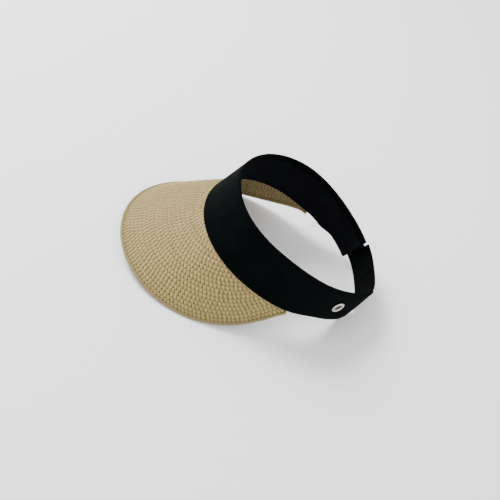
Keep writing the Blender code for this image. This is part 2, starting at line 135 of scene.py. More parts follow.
RING_NUDGE, EDGE_NUDGE, OFF_NUDGE = 0.05, 0.2, 0.2 * MM
WANDER_WAVES, WANDER_SIZE = (0.43, 0.71, 1.0, 1.7), 2.6
UP = np.array([0.0, 0.0, 1.0])

head = next(mount for mount in frame["record"]["mounts"] if mount["name"] == "head")
RING_CENTRE = np.array(head["pos_m"])
RING_UP = -np.array(head["axis"])
RING_BACK = np.cross(RING_UP, (1.0, 0.0, 0.0))


def stand(points):
    """Ring place to table place: x across, y along the ring's length, z up its axis, from its centre."""
    across, along, up = points[..., :1], points[..., 1:2], points[..., 2:]
    return across * (1.0, 0.0, 0.0) + along * RING_BACK + up * RING_UP + RING_CENTRE


def unit(vectors):
    """Each vector divided by its length."""
    return vectors / np.maximum(np.linalg.norm(vectors, axis=-1, keepdims=True), 1e-12)


def ease(share):
    """Smooth step, 3 s^2 - 2 s^3, from 0 to 1."""
    share = np.clip(share, 0.0, 1.0)
    return share * share * (3.0 - 2.0 * share)


def ring_xy(azimuth):
    """Egg: x = half width * sin t * (1 + egg * cos t), y = -half length * cos t, both times 1 + the
    bell-shaped bumps of fullness."""
    turned = np.radians(azimuth)
    full = 1.0 + sum(share * np.exp(-0.5 * (((azimuth - middle + 180.0) % 360.0 - 180.0) / spread) ** 2)
                     for middle, spread, share in FULLNESS)
    across = HALF_WIDTH * np.sin(turned) * (1.0 + EGG * np.cos(turned))
    return np.stack([across, -HALF_LENGTH * np.cos(turned)], axis=-1) * full[..., None]


def wall_axes(azimuth):
    """Foot of the wall, its way up, its way out and the level way out. The foot rises and falls as
    -saddle * cos 2t, and the wall leans in by side + (front or rear - side) * cos^2 t."""
    azimuth = np.asarray(azimuth, dtype=float)
    along = unit(ring_xy(azimuth + RING_NUDGE) - ring_xy(azimuth - RING_NUDGE))
    flat = np.zeros(azimuth.shape)
    out = np.stack([along[..., 1], -along[..., 0], flat], axis=-1)
    saddle = -SADDLE * np.cos(2.0 * np.radians(azimuth))
    foot = np.concatenate([ring_xy(azimuth), saddle[..., None]], axis=-1)
    ends = np.cos(np.radians(azimuth))
    lean = LEAN_SIDE + (np.where(ends > 0.0, LEAN_FRONT, LEAN_REAR) - LEAN_SIDE) * ends ** 2
    lean = np.radians(lean)[..., None]
    return foot, UP * np.cos(lean) - out * np.sin(lean), out * np.cos(lean) + UP * np.sin(lean), out


def wall_point(azimuth, out, height):
    """Foot + height * way up + out * way out."""
    azimuth, out, height = np.broadcast_arrays(azimuth, out, height)
    foot, rise, normal, _ = wall_axes(azimuth)
    return foot + rise * height[..., None] + normal * out[..., None]


def brim_length(azimuth):
    """Tip + (front - tip) * (1 - t^2)^power * (1 - pinch * t^10), where t is the azimuth over the span."""
    turned = np.minimum(np.abs(azimuth) / np.where(azimuth < 0.0, FAR_SPAN, BRIM_SPAN), 1.0)
    share = (1.0 - turned ** 2) ** BRIM_POWER * (1.0 - BRIM_PINCH * turned ** 10)
    return BRIM_TIP + (BRIM_FRONT - BRIM_TIP) * share


def brim_point(azimuth, along, off):
    """An arc that leaves the band's foot at the droop angle and curls on down with the way along it."""
    azimuth, along, off = np.broadcast_arrays(azimuth, along, off)
    foot, rise, normal, out = wall_axes(azimuth)
    side = np.sin(np.radians(azimuth)) ** 2
    droop = np.radians(DROOP_FRONT + (DROOP_SIDE - DROOP_FRONT) * side)
    curl = np.radians(CURL_FRONT + (CURL_SIDE - CURL_FRONT) * side) / BRIM_FRONT
    angle = droop + curl * along
    forward = (np.sin(angle) - np.sin(droop)) / curl + off * np.sin(angle)
    down = (np.cos(droop) - np.cos(angle)) / curl - off * np.cos(angle)
    start = foot + normal * CORE_OUT - rise * BRIM_DROP
    return start + out * forward[..., None] - UP * down[..., None]


def edge_slant(azimuth):
    """How much longer the way out to the edge is than the square way: run / sqrt(run^2 - climb^2), held."""
    after, before = azimuth + EDGE_NUDGE, azimuth - EDGE_NUDGE
    climb = brim_length(after) - brim_length(before)
    run = brim_point(after, brim_length(after), 0.0) - brim_point(before, brim_length(before), 0.0)
    run = np.linalg.norm(run, axis=-1)
    return np.minimum(run / np.sqrt(np.maximum(run ** 2 - climb ** 2, 1e-12)), MAX_SLANT)


def straw_point(azimuth, along, off):
    """The brim's arc, turned up into the band's wall where the way along it is less than nothing."""
    azimuth, along, off = np.broadcast_arrays(azimuth, along, off)
    below = ease((along + TURN_UP_START) / TURN_UP_RUN)[..., None]
    return (brim_point(azimuth, along, off) * below
            + wall_point(azimuth, CORE_OUT + off, -along - BRIM_DROP) * (1.0 - below))


def wander(distance, wavelength, seed):
    """Slow random change between about -1 and 1: four sines of unlike wavelength with seeded phases."""
    chance = np.random.default_rng(seed)
    return sum(np.sin(distance * 2.0 * np.pi / (wavelength * factor) + chance.uniform(0.0, 2.0 * np.pi))
               for factor in WANDER_WAVES) / WANDER_SIZE


def new_piece(name, points, faces, material, sharp=50.0, **values):
    """A mesh at its place on the table, smooth but for edges sharper than an angle, with its attributes."""
    mesh = bpy.data.meshes.new(name)
    mesh.from_pydata(stand(points).tolist(), [], faces)
    for key, value in values.items():
        kind = "FLOAT_VECTOR" if value.ndim == 2 else "FLOAT"
        mesh.attributes.new(key, kind, "POINT").data.foreach_set(
            "vector" if value.ndim == 2 else "value", value.astype(np.float32).ravel())
    mesh.shade_smooth()
    mesh.set_sharp_from_angle(angle=math.radians(sharp))
    mesh.materials.append(material)
    item = bpy.data.objects.new(name, mesh)
    bpy.context.scene.collection.objects.link(item)
    return item


def tube_faces(shapes):
    """Faces of closed tubes, capped at both ends. Each shape is (tubes, stations, sides)."""
    faces, start = [], 0
    for tubes, stations, sides in shapes:
        index = start + np.arange(tubes * stations * sides).reshape(tubes, stations, sides)
        beside = np.roll(index, -1, axis=2)
        walls = np.stack([index[:, :-1], beside[:, :-1], beside[:, 1:], index[:, 1:]], axis=-1)
        faces += walls.reshape(-1, 4).tolist() + index[:, 0, ::-1].tolist() + index[:, -1].tolist()
        start += index.size
    return faces


def fill(tree, made, inputs):
    """Each input of a shader node linked to a socket or set to a constant."""
    for key, value in inputs.items():
        if isinstance(value, bpy.types.NodeSocket):
            tree.links.new(value, made.inputs[key])
        else:
            made.inputs[key].default_value = value


def node(tree, kind, inputs=None, **settings):
    """A shader node with its settings made and its inputs filled."""
    made = tree.nodes.new(kind)
    fill(tree, made, inputs or {})
    for key, value in settings.items():
        setattr(made, key, value)
    return made


def mixed(tree, share, first, second):
    """Colour between two others by a share."""
    mix = node(tree, "ShaderNodeMix", data_type="RGBA")
    fill(tree, mix, {0: share, 6: first, 7: second})
    return mix.outputs[2]


def scaled(tree, value, low, high, first=0.0, last=1.0):
    """A value between low and high carried to between first and last, held at the ends."""
    return node(tree, "ShaderNodeMapRange", {0: value, 1: low, 2: high, 3: first, 4: last}).outputs[0]


def worked(tree, how, first, second):
    """Arithmetic on two values."""
    return node(tree, "ShaderNodeMath", {0: first, 1: second}, operation=how).outputs[0]


FIBRE_STRETCH, SPOT_SCALE, TONE_SHARE = (160.0, 2600.0, 0.0), 420.0, 0.55


def straw_finish(name, crest, dip_shade_and_fibre, brown):
    """Paper straw: pale on top, with painted shade where it dips under, with fine fibres along it and a
    browner tone here and there."""
    material, tree, shader = finish_of(name, Specular_IOR_Level=0.22)
    place = node(tree, "ShaderNodeAttribute", attribute_name="straw").outputs["Vector"]
    way = node(tree, "ShaderNodeSeparateXYZ", {0: place})
    tone = node(tree, "ShaderNodeAttribute", attribute_name="tone").outputs["Fac"]
    long = node(tree, "ShaderNodeVectorMath", {0: place, 1: FIBRE_STRETCH}, operation="MULTIPLY").outputs[0]
    fibres = node(tree, "ShaderNodeTexNoise", {"Vector": long, "Scale": 1.0, "Detail": 3.0}).outputs["Fac"]
    spots = node(tree, "ShaderNodeTexNoise", {"Vector": place, "Scale": SPOT_SCALE}).outputs["Fac"]
    # Painted shade: the straw attribute's third part mixes from the dark dip colour, where the straw dips
    # under or between ribs, to the crest colour.
    height = scaled(tree, way.outputs["Z"], 0.12, 0.85)
    colour = mixed(tree, height, (*dip_shade_and_fibre, 1.0), (*crest, 1.0))
    colour = mixed(tree, worked(tree, "MULTIPLY", tone, TONE_SHARE), colour, (*brown, 1.0))
    # The fibres, a real grain, are darkened towards the same dip colour.
    colour = mixed(tree, scaled(tree, fibres, 0.35, 0.75, 0.0, 0.22), colour, (*dip_shade_and_fibre, 1.0))
    colour = mixed(tree, scaled(tree, spots, 0.60, 0.78, 0.0, 0.30), colour, (*brown, 1.0))
    tree.links.new(colour, shader.inputs["Base Color"])
    tree.links.new(scaled(tree, fibres, 0.3, 0.7, 0.50, 0.78), shader.inputs["Roughness"])
    bump = node(tree, "ShaderNodeBump", {"Height": fibres, "Strength": 0.35, "Distance": 0.12 * MM})
    tree.links.new(bump.outputs[0], shader.inputs["Normal"])
    return material


HEM_WIDTH, HEM_LEAF = 4.0 * MM, 0.9 * MM
FIRST_ROW, ROW_PITCH, ROW_GROWTH, SIDE_GROWTH = 4.3 * MM, 4.25 * MM, 0.028 * MM, 0.06
GRAIN = 4.25 * MM
PLAIT_REACH, PLAIT_HEIGHT, LAP_TILT = 3.0 * MM, 0.30 * MM, 0.13
STRAW_HALF, STRAW_CROWN = 1.5 * MM, 0.30 * MM
MARGIN = 5.0 * MM
STATION = GRAIN * 3.0 / 16.0
SIDES = np.radians(np.arange(6) * 60.0)
ROW_STATIONS, FEWEST_STATIONS, MOST_ROWS, OUTER_ROWS = 1500, 20, 24, 6
SWING_WANDER, PATH_WANDER, HALF_WANDER = 0.25, 0.12 * MM, 0.08
STEEPEST, MARGIN_FLATNESS, MARGIN_START, MARGIN_RUN = 0.95, 0.5, 1.0 * MM, 4.0 * MM
TONE_MIDDLE, TONE_WANDER, TONE_SPREAD = 0.35, 0.25, 0.2
HALF_APART, TONE_APART, FIBRES_APART, ROWS_APART = 0.7, 0.9, 1.3, 0.61


def plait_row(number):
    """Three straws along one row, with their place for fibres, their share of painted shade and their tone.
    Each swings across the row as reach * sin t and over and under its neighbours as height * sin 2t, a third
    of a turn apart, and has a flat six-sided section. Inside the band the row lies flatter."""
    azimuth = np.linspace(-BRIM_SPAN, BRIM_SPAN, ROW_STATIONS)
    inset = FIRST_ROW + ROW_PITCH * number + ROW_GROWTH * number ** 2
    inset = inset * (1.0 + SIDE_GROWTH * np.sin(np.radians(azimuth)) ** 2) * edge_slant(azimuth)
    along = brim_length(azimuth) - inset
    kept = along > -MARGIN
    if kept.sum() < FEWEST_STATIONS:
        return None
    azimuth, along = azimuth[kept], along[kept]
    steps = np.linalg.norm(np.diff(straw_point(azimuth, along, 0.0), axis=0), axis=-1)
    length = np.concatenate([[0.0], np.cumsum(steps)])
    way = np.linspace(0.0, length[-1], int(length[-1] / STATION))
    azimuth, along = np.interp(way, length, azimuth), np.interp(way, length, along)
    climb = np.clip(np.gradient(along, way), -STEEPEST, STEEPEST)
    level_run = np.sqrt(1.0 - climb ** 2)
    arc = level_run / np.maximum(np.gradient(azimuth, way), 1e-9)

    chance = np.random.default_rng(100 + number)
    strand = np.arange(3.0)[:, None]
    swing = 2.0 * np.pi * (way / (3.0 * GRAIN) + strand / 3.0 + chance.uniform())
    swing = swing + SWING_WANDER * wander(way, 40.0 * MM, 200 + number)
    across = PLAIT_REACH * np.sin(swing) + PATH_WANDER * wander(way, 23.0 * MM, 300 + number)
    lift = PLAIT_HEIGHT * np.sin(2.0 * swing)
    inside = MARGIN_FLATNESS + (1.0 - MARGIN_FLATNESS) * ease((along + MARGIN_START) / MARGIN_RUN)
    azimuths = azimuth - across * climb / arc
    alongs = along + across * level_run
    off = (lift + LAP_TILT * across) * inside
    middle = straw_point(azimuths, alongs, off)
    normal = unit(straw_point(azimuths, alongs, off + OFF_NUDGE) - middle)
    ahead = unit(np.gradient(middle, axis=1))
    side = unit(np.cross(normal, ahead))
    normal = np.cross(ahead, side)
    half = STRAW_HALF * (1.0 + HALF_WANDER * wander(way + strand * HALF_APART, 17.0 * MM, 400 + number))
    points = (middle[:, :, None] + side[:, :, None] * (half[..., None] * np.cos(SIDES))[..., None]
              + normal[:, :, None] * (STRAW_CROWN * np.sin(SIDES) * inside[:, None])[..., None])
    # Painted shade share: crest is 1 where the straw rides highest over its neighbours and 0 where it dips
    # under; the underside takes the reverse.
    crest = np.broadcast_to((0.5 + 0.5 * np.sin(2.0 * swing))[..., None], points.shape[:3])
    top = np.where(np.sin(SIDES) > -0.1, crest, 1.0 - crest)
    ways = (way + strand * FIBRES_APART + number * ROWS_APART)[..., None]
    ways = np.broadcast_to(ways, points.shape[:3])
    place = np.stack([ways, np.broadcast_to(half[..., None] * np.cos(SIDES), ways.shape), top], axis=-1)
    tone = TONE_MIDDLE + TONE_WANDER * wander(way + strand * TONE_APART, 60.0 * MM, 500 + number)
    tone = tone + chance.uniform(-TONE_SPREAD, TONE_SPREAD, (3, 1))
    tone = np.broadcast_to(np.clip(tone, 0.0, 1.0)[..., None], ways.shape)
    return points, place, tone


# The second colour is painted shade where the straws dip under their neighbours; the fibres darken towards it
# too.
plaited_straw = straw_finish("plaited_straw", (0.37, 0.282, 0.102), (0.026, 0.018, 0.006),
                             (0.185, 0.127, 0.046))
rows = [row for row in (plait_row(number) for number in range(MOST_ROWS)) if row is not None]
for name, made in (("straw_rows_outer", rows[:OUTER_ROWS]), ("straw_rows_inner", rows[OUTER_ROWS:])):
    points, place, tone = zip(*made)
    braid = new_piece(name, np.concatenate([row.reshape(-1, 3) for row in points]),
                      tube_faces([row.shape[:3] for row in points]), plaited_straw, sharp=75.0,
                      straw=np.concatenate([row.reshape(-1, 3) for row in place]),
                      tone=np.concatenate([row.ravel() for row in tone]))
    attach(braid, "visor")
    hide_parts("brim_straw")


# Hem, its filament and its stitches -------------------------------------------------------------------------
# A closer straw braid with fine cross ribs is folded over the brim's raw edge, narrow on top and wide
# beneath, and sewn through with straw thread. A clear nylon filament lies in the fold and gives the brim its
# springy curve.

HEM_THICK, BRIM_THICK, WIRE_RADIUS, GAP = 0.7 * MM, 1.1 * MM, 0.6 * MM, 0.3 * MM
RIB_PITCH, RIB_DEPTH, RIB_WANDER = 1.45 * MM, 0.16 * MM, 0.5
LEAF_ROWS, FOLD_ROWS, LEAF_WANDER = 9, 11, 0.35 * MM
LIP_SHARE, LIP_RISE = 0.35, 2.5
EDGE_STATIONS, HEM_STATION = 4000, 0.36 * MM
HEM_TONE, HEM_TONE_WANDER = 0.4, 0.3


def edge_stations(step):
    """Azimuths along the brim's edge, a step of length apart, and the length up to each."""
    azimuth = np.linspace(-BRIM_SPAN, BRIM_SPAN, EDGE_STATIONS)
    edge = brim_point(azimuth, brim_length(azimuth), 0.0)
    length = np.concatenate([[0.0], np.cumsum(np.linalg.norm(np.diff(edge, axis=0), axis=-1))])
    way = np.linspace(0.0, length[-1], int(length[-1] / step))
    return np.interp(way, length, azimuth), way


def hem_rows(azimuth, way):
    """Closed U: out along the top leaf, half round the fold, back along the wide leaf beneath, and back again
    inside. The outside is rippled by |sin| ribs and thins towards both raw edges."""
    length, slant = brim_length(azimuth), edge_slant(azimuth)
    longest = length - BRIM_TIP / 2.0
    wide = length - np.minimum(HEM_WIDTH * slant, longest)
    narrow = length - np.minimum(HEM_LEAF * slant, longest)
    inner = BRIM_THICK / 2.0 + GAP
    reach = length + (GAP + 2.0 * WIRE_RADIUS + GAP - inner) * slant
    flat = np.linspace(0.0, 1.0, LEAF_ROWS)
    level = np.zeros(LEAF_ROWS - 1)
    bend = np.radians(np.linspace(90.0, -90.0, FOLD_ROWS))
    share = np.concatenate([flat[:-1], np.ones(FOLD_ROWS), flat[-2::-1]])
    depth = np.concatenate([level + 1.0, np.sin(bend), level - 1.0])
    past = np.concatenate([level, np.cos(bend), level])
    lip = np.minimum(1.0, LIP_SHARE + LIP_RISE * share + past)
    wavy = LEAF_WANDER * wander(way, 9.0 * MM, 41)[:, None] * (1.0 - share)
    rib = np.abs(np.sin(np.pi * way / RIB_PITCH + RIB_WANDER * wander(way, 30.0 * MM, 42)))[:, None]
    start = np.where(depth < 0.0, wide[:, None], narrow[:, None])
    along = start + (reach[:, None] - start) * share + wavy

    def skin(thickness):
        """One face of the folded braid, at a distance from the middle of the straw."""
        return brim_point(azimuth[:, None], along + past * thickness * slant[:, None], depth * thickness)

    outside = skin(inner + lip * (HEM_THICK - RIB_DEPTH + RIB_DEPTH * rib))
    inside = skin(np.full(along.shape, inner))
    points = np.concatenate([outside, inside[:, ::-1]], axis=1)
    around = np.concatenate([share + past, (share + past)[::-1]]) * HEM_WIDTH
    # Painted shade: the rib share, 0 in the troughs between ribs, is the third part of the straw attribute,
    # so the material darkens the troughs.
    place = [np.broadcast_to(part, points.shape[:2]) for part in (way[:, None], around, rib)]
    return points, np.stack(place, axis=-1)


# The hem's second colour is painted shade in the troughs between its ribs.
hem_straw = straw_finish("hem_straw", (0.28, 0.218, 0.092), (0.095, 0.070, 0.028), (0.19, 0.138, 0.055))
azimuth, way = edge_stations(HEM_STATION)
points, place = hem_rows(azimuth, way)
tone = (HEM_TONE + HEM_TONE_WANDER * wander(way, 50.0 * MM, 43))[:, None]
tone = np.broadcast_to(tone, points.shape[:2])
hem = new_piece("folded_hem", points.reshape(-1, 3), tube_faces([(1, *points.shape[:2])]), hem_straw,
                sharp=60.0, straw=place.reshape(-1, 3), tone=np.clip(tone, 0.0, 1.0).ravel())
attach(hem, "visor")
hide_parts("brim_hem")


STITCH_LENGTH, STITCH_GAP, STITCH_RISE, STITCH_DEPTH = 2.7 * MM, 0.8 * MM, 0.22 * MM, 0.12 * MM
STITCH_END = 0.45
STRAW_THREAD_RADIUS, BLACK_THREAD_RADIUS = 0.28 * MM, 0.26 * MM


def stitches(path, normal, radius):
    """Separate stitches along a path: each is a short thread that comes up out of the cloth, arches by
    rise * sin and goes down again, thinner at its two ends. Result is (stitches, stations, sides, 3)."""
    steps = np.linalg.norm(np.diff(path, axis=0), axis=-1)
    reach = np.concatenate([[0.0], np.cumsum(steps)])
    count = max(1, int(reach[-1] / (STITCH_LENGTH + STITCH_GAP)))
    share = np.linspace(0.0, 1.0, 6)
    at = (np.arange(count)[:, None] + 0.5) * reach[-1] / count + (share - 0.5) * STITCH_LENGTH
    centre = np.stack([np.interp(at, reach, path[:, axis]) for axis in range(3)], axis=-1)
    up = unit(np.stack([np.interp(at, reach, normal[:, axis]) for axis in range(3)], axis=-1))
    centre = centre + up * (STITCH_RISE * np.sin(np.pi * share) - STITCH_DEPTH)[:, None]
    ahead = unit(np.gradient(centre, axis=1))
    side = unit(np.cross(up, ahead))
    up = np.cross(ahead, side)
    thin = radius * (STITCH_END + (1.0 - STITCH_END) * np.sin(np.pi * np.clip(share, 0.06, 0.94)) ** 0.5)
    section = side[:, :, None] * np.cos(SIDES)[:, None] + up[:, :, None] * np.sin(SIDES)[:, None]
    return centre[:, :, None] + thin[:, None, None] * section


def thread_finish(name, colour, light):
    """Spun thread: plies as slanting bands round it, with a painted highlight on their crowns."""
    material, tree, shader = finish_of(name, Roughness=0.75, Specular_IOR_Level=0.05)
    spot = node(tree, "ShaderNodeTexCoord").outputs["Object"]
    ply = node(tree, "ShaderNodeTexWave", {"Vector": spot, "Scale": 1400.0, "Distortion": 1.2, "Detail": 1.0},
               bands_direction="DIAGONAL").outputs["Fac"]
    # Painted highlight: the second colour lightens the ply crowns.
    tree.links.new(mixed(tree, ply, (*colour, 1.0), (*light, 1.0)), shader.inputs["Base Color"])
    bump = node(tree, "ShaderNodeBump", {"Height": ply, "Strength": 0.5, "Distance": 0.06 * MM})
    tree.links.new(bump.outputs[0], shader.inputs["Normal"])
    return material


def stitch_piece(name, groups, material, body, slot, *replaced):
    """Rows of stitches as one piece."""
    item = new_piece(name, np.concatenate([group.reshape(-1, 3) for group in groups]),
                     tube_faces([group.shape[:3] for group in groups]), material)
    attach(item, body)
    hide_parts(*replaced)
    return item


HEM_SEAM_REACH, HEM_SEAM_INSET = 92.0, HEM_WIDTH - 1.5 * MM
# Each thread's second colour is a painted highlight on its ply crowns.
straw_thread = thread_finish("straw_thread", (0.17, 0.115, 0.042), (0.30, 0.215, 0.082))
azimuth, way = edge_stations(1.0 * MM)
azimuth = azimuth[np.abs(azimuth) < HEM_SEAM_REACH]
along = brim_length(azimuth) - HEM_SEAM_INSET * edge_slant(azimuth)
face = BRIM_THICK / 2.0 + GAP + HEM_THICK
hem_seams = []
for side_of in (1.0, -1.0):
    path = brim_point(azimuth, along, side_of * face)
    hem_seams.append(stitches(path, path - brim_point(azimuth, along, 0.0), STRAW_THREAD_RADIUS))
stitch_piece("hem_stitching", hem_seams, straw_thread, "visor", "straw_thread", "hem_stitches")

nylon, tree, shader = finish_of("clear_filament", Roughness=0.25, IOR=1.53, Transmission_Weight=0.55)
spot = node(tree, "ShaderNodeTexCoord").outputs["Object"]
cloudy = node(tree, "ShaderNodeTexNoise", {"Vector": spot, "Scale": 300.0, "Detail": 2.0}).outputs["Fac"]
tree.links.new(mixed(tree, cloudy, (0.62, 0.63, 0.62, 1.0), (0.78, 0.79, 0.78, 1.0)),
               shader.inputs["Base Color"])
nodes["brim_wire"].material_slots[0].material = nylon


# Headband: stiffening, lining and cover ---------------------------------------------------------------------
# A strip of grey pressed felt stands inside the band. A soft black lining lies against the head, and a
# black cotton twill cover is wrapped over the top edge on to the lining and sewn down along it.

BAND_HEIGHT, TOP_LOSS, TAPER_START, TAPER_END = 53.3 * MM, 8.2 * MM, 72.0, 145.0
FAR_END, NEAR_END = -141.5, 163.0
FAR_STEP_START, FAR_STEP_END, FAR_STEP = -112.0, -126.0, 6.3 * MM
NEAR_CUT_START, NEAR_CUT = 150.0, 8.0 * MM
FOOT, ARCHES = -0.6 * MM, ((120.0, 13.0, 2.5 * MM), (-108.0, 9.0, 1.6 * MM))
FAR_LEAN_START, FAR_LEAN = -122.0, 5.5
COVER_OUT, COVER_THICK = 1.25 * MM, 0.9 * MM
LINING_OUT, LINING_THICK = -1.3 * MM, 0.8 * MM
COVER_FACE, LINING_FACE = COVER_OUT + COVER_THICK / 2.0, LINING_OUT - LINING_THICK / 2.0
TURNED_OUT, TURNED_DOWN = -2.2 * MM, 7.0 * MM
SEAM_INSET, GROOVE, COVER_GROOVE_WIDTH, LINING_GROOVE_WIDTH = 3.5 * MM, 0.28 * MM, 0.75 * MM, 0.8 * MM
FELT_END, FELT_INSET, FELT_FOOT_INSET, FELT_TOP_INSET, FELT_LOWEST = 146.0, 1.0, 1.0 * MM, 1.2 * MM, 10.0 * MM
LINING_FOOT_INSET, LINING_TOP_INSET, LINING_SLACK, LINING_PUCKER = 0.5 * MM, 2.4 * MM, 0.28 * MM, 0.10 * MM
COVER_SLACK, COVER_PUCKER, LINING_REACH, COVER_REACH = 0.22 * MM, 0.11 * MM, 6.0 * MM, 4.5 * MM
RING_STATIONS, SELVEDGE = 3000, 4.0 * MM


def band_top(azimuth):
    """Height of the wall, less a loss eased in towards both ends."""
    turned = np.abs((np.asarray(azimuth) + 180.0) % 360.0 - 180.0)
    return BAND_HEIGHT - TOP_LOSS * ease((turned - TAPER_START) / (TAPER_END - TAPER_START))


def band_foot(azimuth):
    """Lower edge: an eased step at the far end, a straight cut at the near end, and a bell-shaped arch on
    each side."""
    step = FAR_STEP * ease((azimuth - FAR_STEP_START) / (FAR_STEP_END - FAR_STEP_START))
    cut = NEAR_CUT * np.clip((azimuth - NEAR_CUT_START) / (NEAR_END - NEAR_CUT_START), 0.0, 1.0)
    arches = sum(tall * np.exp(-((azimuth - middle) / reach) ** 2) for middle, reach, tall in ARCHES)
    return FOOT + step + cut + arches


def leaned(azimuth, height):
    """Azimuth less lean * share * height / band height, which slants the band's far end towards the rear."""
    share = np.clip((FAR_LEAN_START - azimuth) / (FAR_LEAN_START - FAR_END), 0.0, 1.0)
    return azimuth - FAR_LEAN * share * height / BAND_HEIGHT


def ring_stations(first, last, step, out=0.0):
    """Azimuths from first to last a step of length apart round the ring, and the length up to each."""
    azimuth = np.linspace(first, last, RING_STATIONS)
    path = wall_point(azimuth, out, 0.0)
    length = np.concatenate([[0.0], np.cumsum(np.linalg.norm(np.diff(path, axis=0), axis=-1))])
    way = np.linspace(0.0, length[-1], max(3, int(length[-1] / step)))
    return np.interp(way, length, azimuth), way


def cloth_faces(stations, across):
    """Quads of a thin closed cloth: an outer grid, then an inner grid, joined round all four edges."""
    outer = np.arange(stations * across).reshape(stations, across)
    inner = outer + stations * across
    skins = [np.stack([grid[:-1, :-1], grid[1:, :-1], grid[1:, 1:], grid[:-1, 1:]], axis=-1).reshape(-1, 4)
             for grid in (outer, inner)]
    rim = np.concatenate([outer[:, 0], outer[-1, 1:], outer[-2::-1, -1], outer[0, -2:0:-1]])
    behind = rim + stations * across
    edge = np.stack([np.roll(rim, -1), rim, behind, np.roll(behind, -1)], axis=-1)
    return np.concatenate([skins[0], skins[1][:, ::-1], edge]).tolist()


def cloth_piece(name, azimuth, way, out, height, thickness, push, material, sharp=60.0):
    """A cloth whose middle lies at a distance out of the wall and a height up it, per station and row. Its
    two faces stand half a thickness off along its own normal, and push moves the whole cloth along that
    normal. The thickness falls to a round edge at all four sides, as a quarter circle. Returned with its
    widest width, its length and its area."""
    middle = wall_point(leaned(azimuth[:, None], height), out, height)
    lengthwise, crosswise = np.gradient(middle, axis=0), np.gradient(middle, axis=1)
    normal = unit(np.cross(lengthwise, crosswise))
    middle = middle + normal * push[..., None]
    steps = np.linalg.norm(np.diff(middle, axis=1), axis=-1)
    down = np.concatenate([np.zeros((len(way), 1)), np.cumsum(steps, axis=1)], axis=1)
    to_edge = np.minimum(np.minimum(down, down[:, -1:] - down), np.minimum(way, way[-1] - way)[:, None])
    near = np.clip(to_edge / (thickness / 2.0), 0.0, 1.0)
    half = thickness / 2.0 * np.sqrt(np.clip(1.0 - (1.0 - near) ** 2, 0.02, 1.0))
    points = np.concatenate([(middle + normal * half[..., None]).reshape(-1, 3),
                             (middle - normal * half[..., None]).reshape(-1, 3)])
    ways = np.broadcast_to(way[:, None], down.shape)
    cloth = np.stack([ways, down, np.clip(to_edge / SELVEDGE, 0.0, 1.0)], axis=-1).reshape(-1, 3)
    item = new_piece(name, points, cloth_faces(*down.shape), material, sharp,
                     cloth=np.concatenate([cloth, cloth]))
    return item, float(down[:, -1].max()), float(way[-1]), float(np.trapz(down[:, -1], way))


# The last share darkens the weave's hollows as painted shade.
PICK_SHARE, PICK_HEIGHT, LINT_HEIGHT, SUNK_SHADE_SHARE = 0.62, 0.45, 1.2, 0.6


def cloth_finish(name, colour, worn, pitch, slope, depth, **values):
    """Woven cloth: fine ridges at a slope across the weave, with painted shade in their hollows, a little
    lint, and paler thread at worn edges.
    """
    material, tree, shader = finish_of(name, **values)
    place = node(tree, "ShaderNodeAttribute", attribute_name="cloth").outputs["Vector"]
    way = node(tree, "ShaderNodeSeparateXYZ", {0: place})
    leaning = worked(tree, "ADD", way.outputs["X"], worked(tree, "MULTIPLY", way.outputs["Y"], slope))
    ridge = worked(tree, "SINE", worked(tree, "MULTIPLY", leaning, 2.0 * math.pi / pitch), 0.0)
    crosswise = 2.0 * math.pi / (pitch * PICK_SHARE)
    picks = worked(tree, "SINE", worked(tree, "MULTIPLY", way.outputs["Y"], crosswise), 0.0)
    weave = worked(tree, "ADD", ridge, worked(tree, "MULTIPLY", picks, PICK_HEIGHT))
    spot = node(tree, "ShaderNodeTexCoord").outputs["Object"]
    lint = node(tree, "ShaderNodeTexNoise", {"Vector": spot, "Scale": 1300.0, "Detail": 3.0}).outputs["Fac"]
    cloud = node(tree, "ShaderNodeTexNoise", {"Vector": spot, "Scale": 45.0, "Detail": 3.0}).outputs["Fac"]
    # Painted shade: a darker copy of the cloth's colour in the sunk parts of the weave.
    sunk_shade = tuple(SUNK_SHADE_SHARE * part for part in colour)
    tint = mixed(tree, scaled(tree, weave, -1.3, 1.3), (*sunk_shade, 1.0), (*colour, 1.0))
    tint = mixed(tree, scaled(tree, cloud, 0.35, 0.70, 0.0, 0.45), tint, (*worn, 1.0))
    tint = mixed(tree, scaled(tree, lint, 0.66, 0.74, 0.0, 0.5), tint, (*worn, 1.0))
    tint = mixed(tree, scaled(tree, way.outputs["Z"], 0.0, 0.35, 0.55, 0.0), tint, (*worn, 1.0))
    tree.links.new(tint, shader.inputs["Base Color"])
    tree.links.new(scaled(tree, cloud, 0.3, 0.7, 0.72, 0.92), shader.inputs["Roughness"])
    rough = worked(tree, "ADD", weave, worked(tree, "MULTIPLY", lint, LINT_HEIGHT))
    bump = node(tree, "ShaderNodeBump", {"Height": rough, "Strength": 0.6, "Distance": depth})
    tree.links.new(bump.outputs[0], shader.inputs["Normal"])
    return material


grey_felt, tree, shader = finish_of("pressed_felt", Roughness=0.95, Sheen_Weight=0.3)
spot = node(tree, "ShaderNodeTexCoord").outputs["Object"]
hairs = node(tree, "ShaderNodeTexNoise", {"Vector": spot, "Scale": 900.0, "Detail": 5.0}).outputs["Fac"]
tree.links.new(mixed(tree, hairs, (0.14, 0.14, 0.14, 1.0), (0.27, 0.27, 0.27, 1.0)),
               shader.inputs["Base Color"])
bump = node(tree, "ShaderNodeBump", {"Height": hairs, "Strength": 0.6, "Distance": 0.2 * MM})
tree.links.new(bump.outputs[0], shader.inputs["Normal"])
stiffening = nodes["band_stiffener"]
stiffening.material_slots[0].material = grey_felt
azimuth, way = ring_stations(FAR_END + FELT_INSET, FELT_END, 2.0 * MM, CORE_OUT)

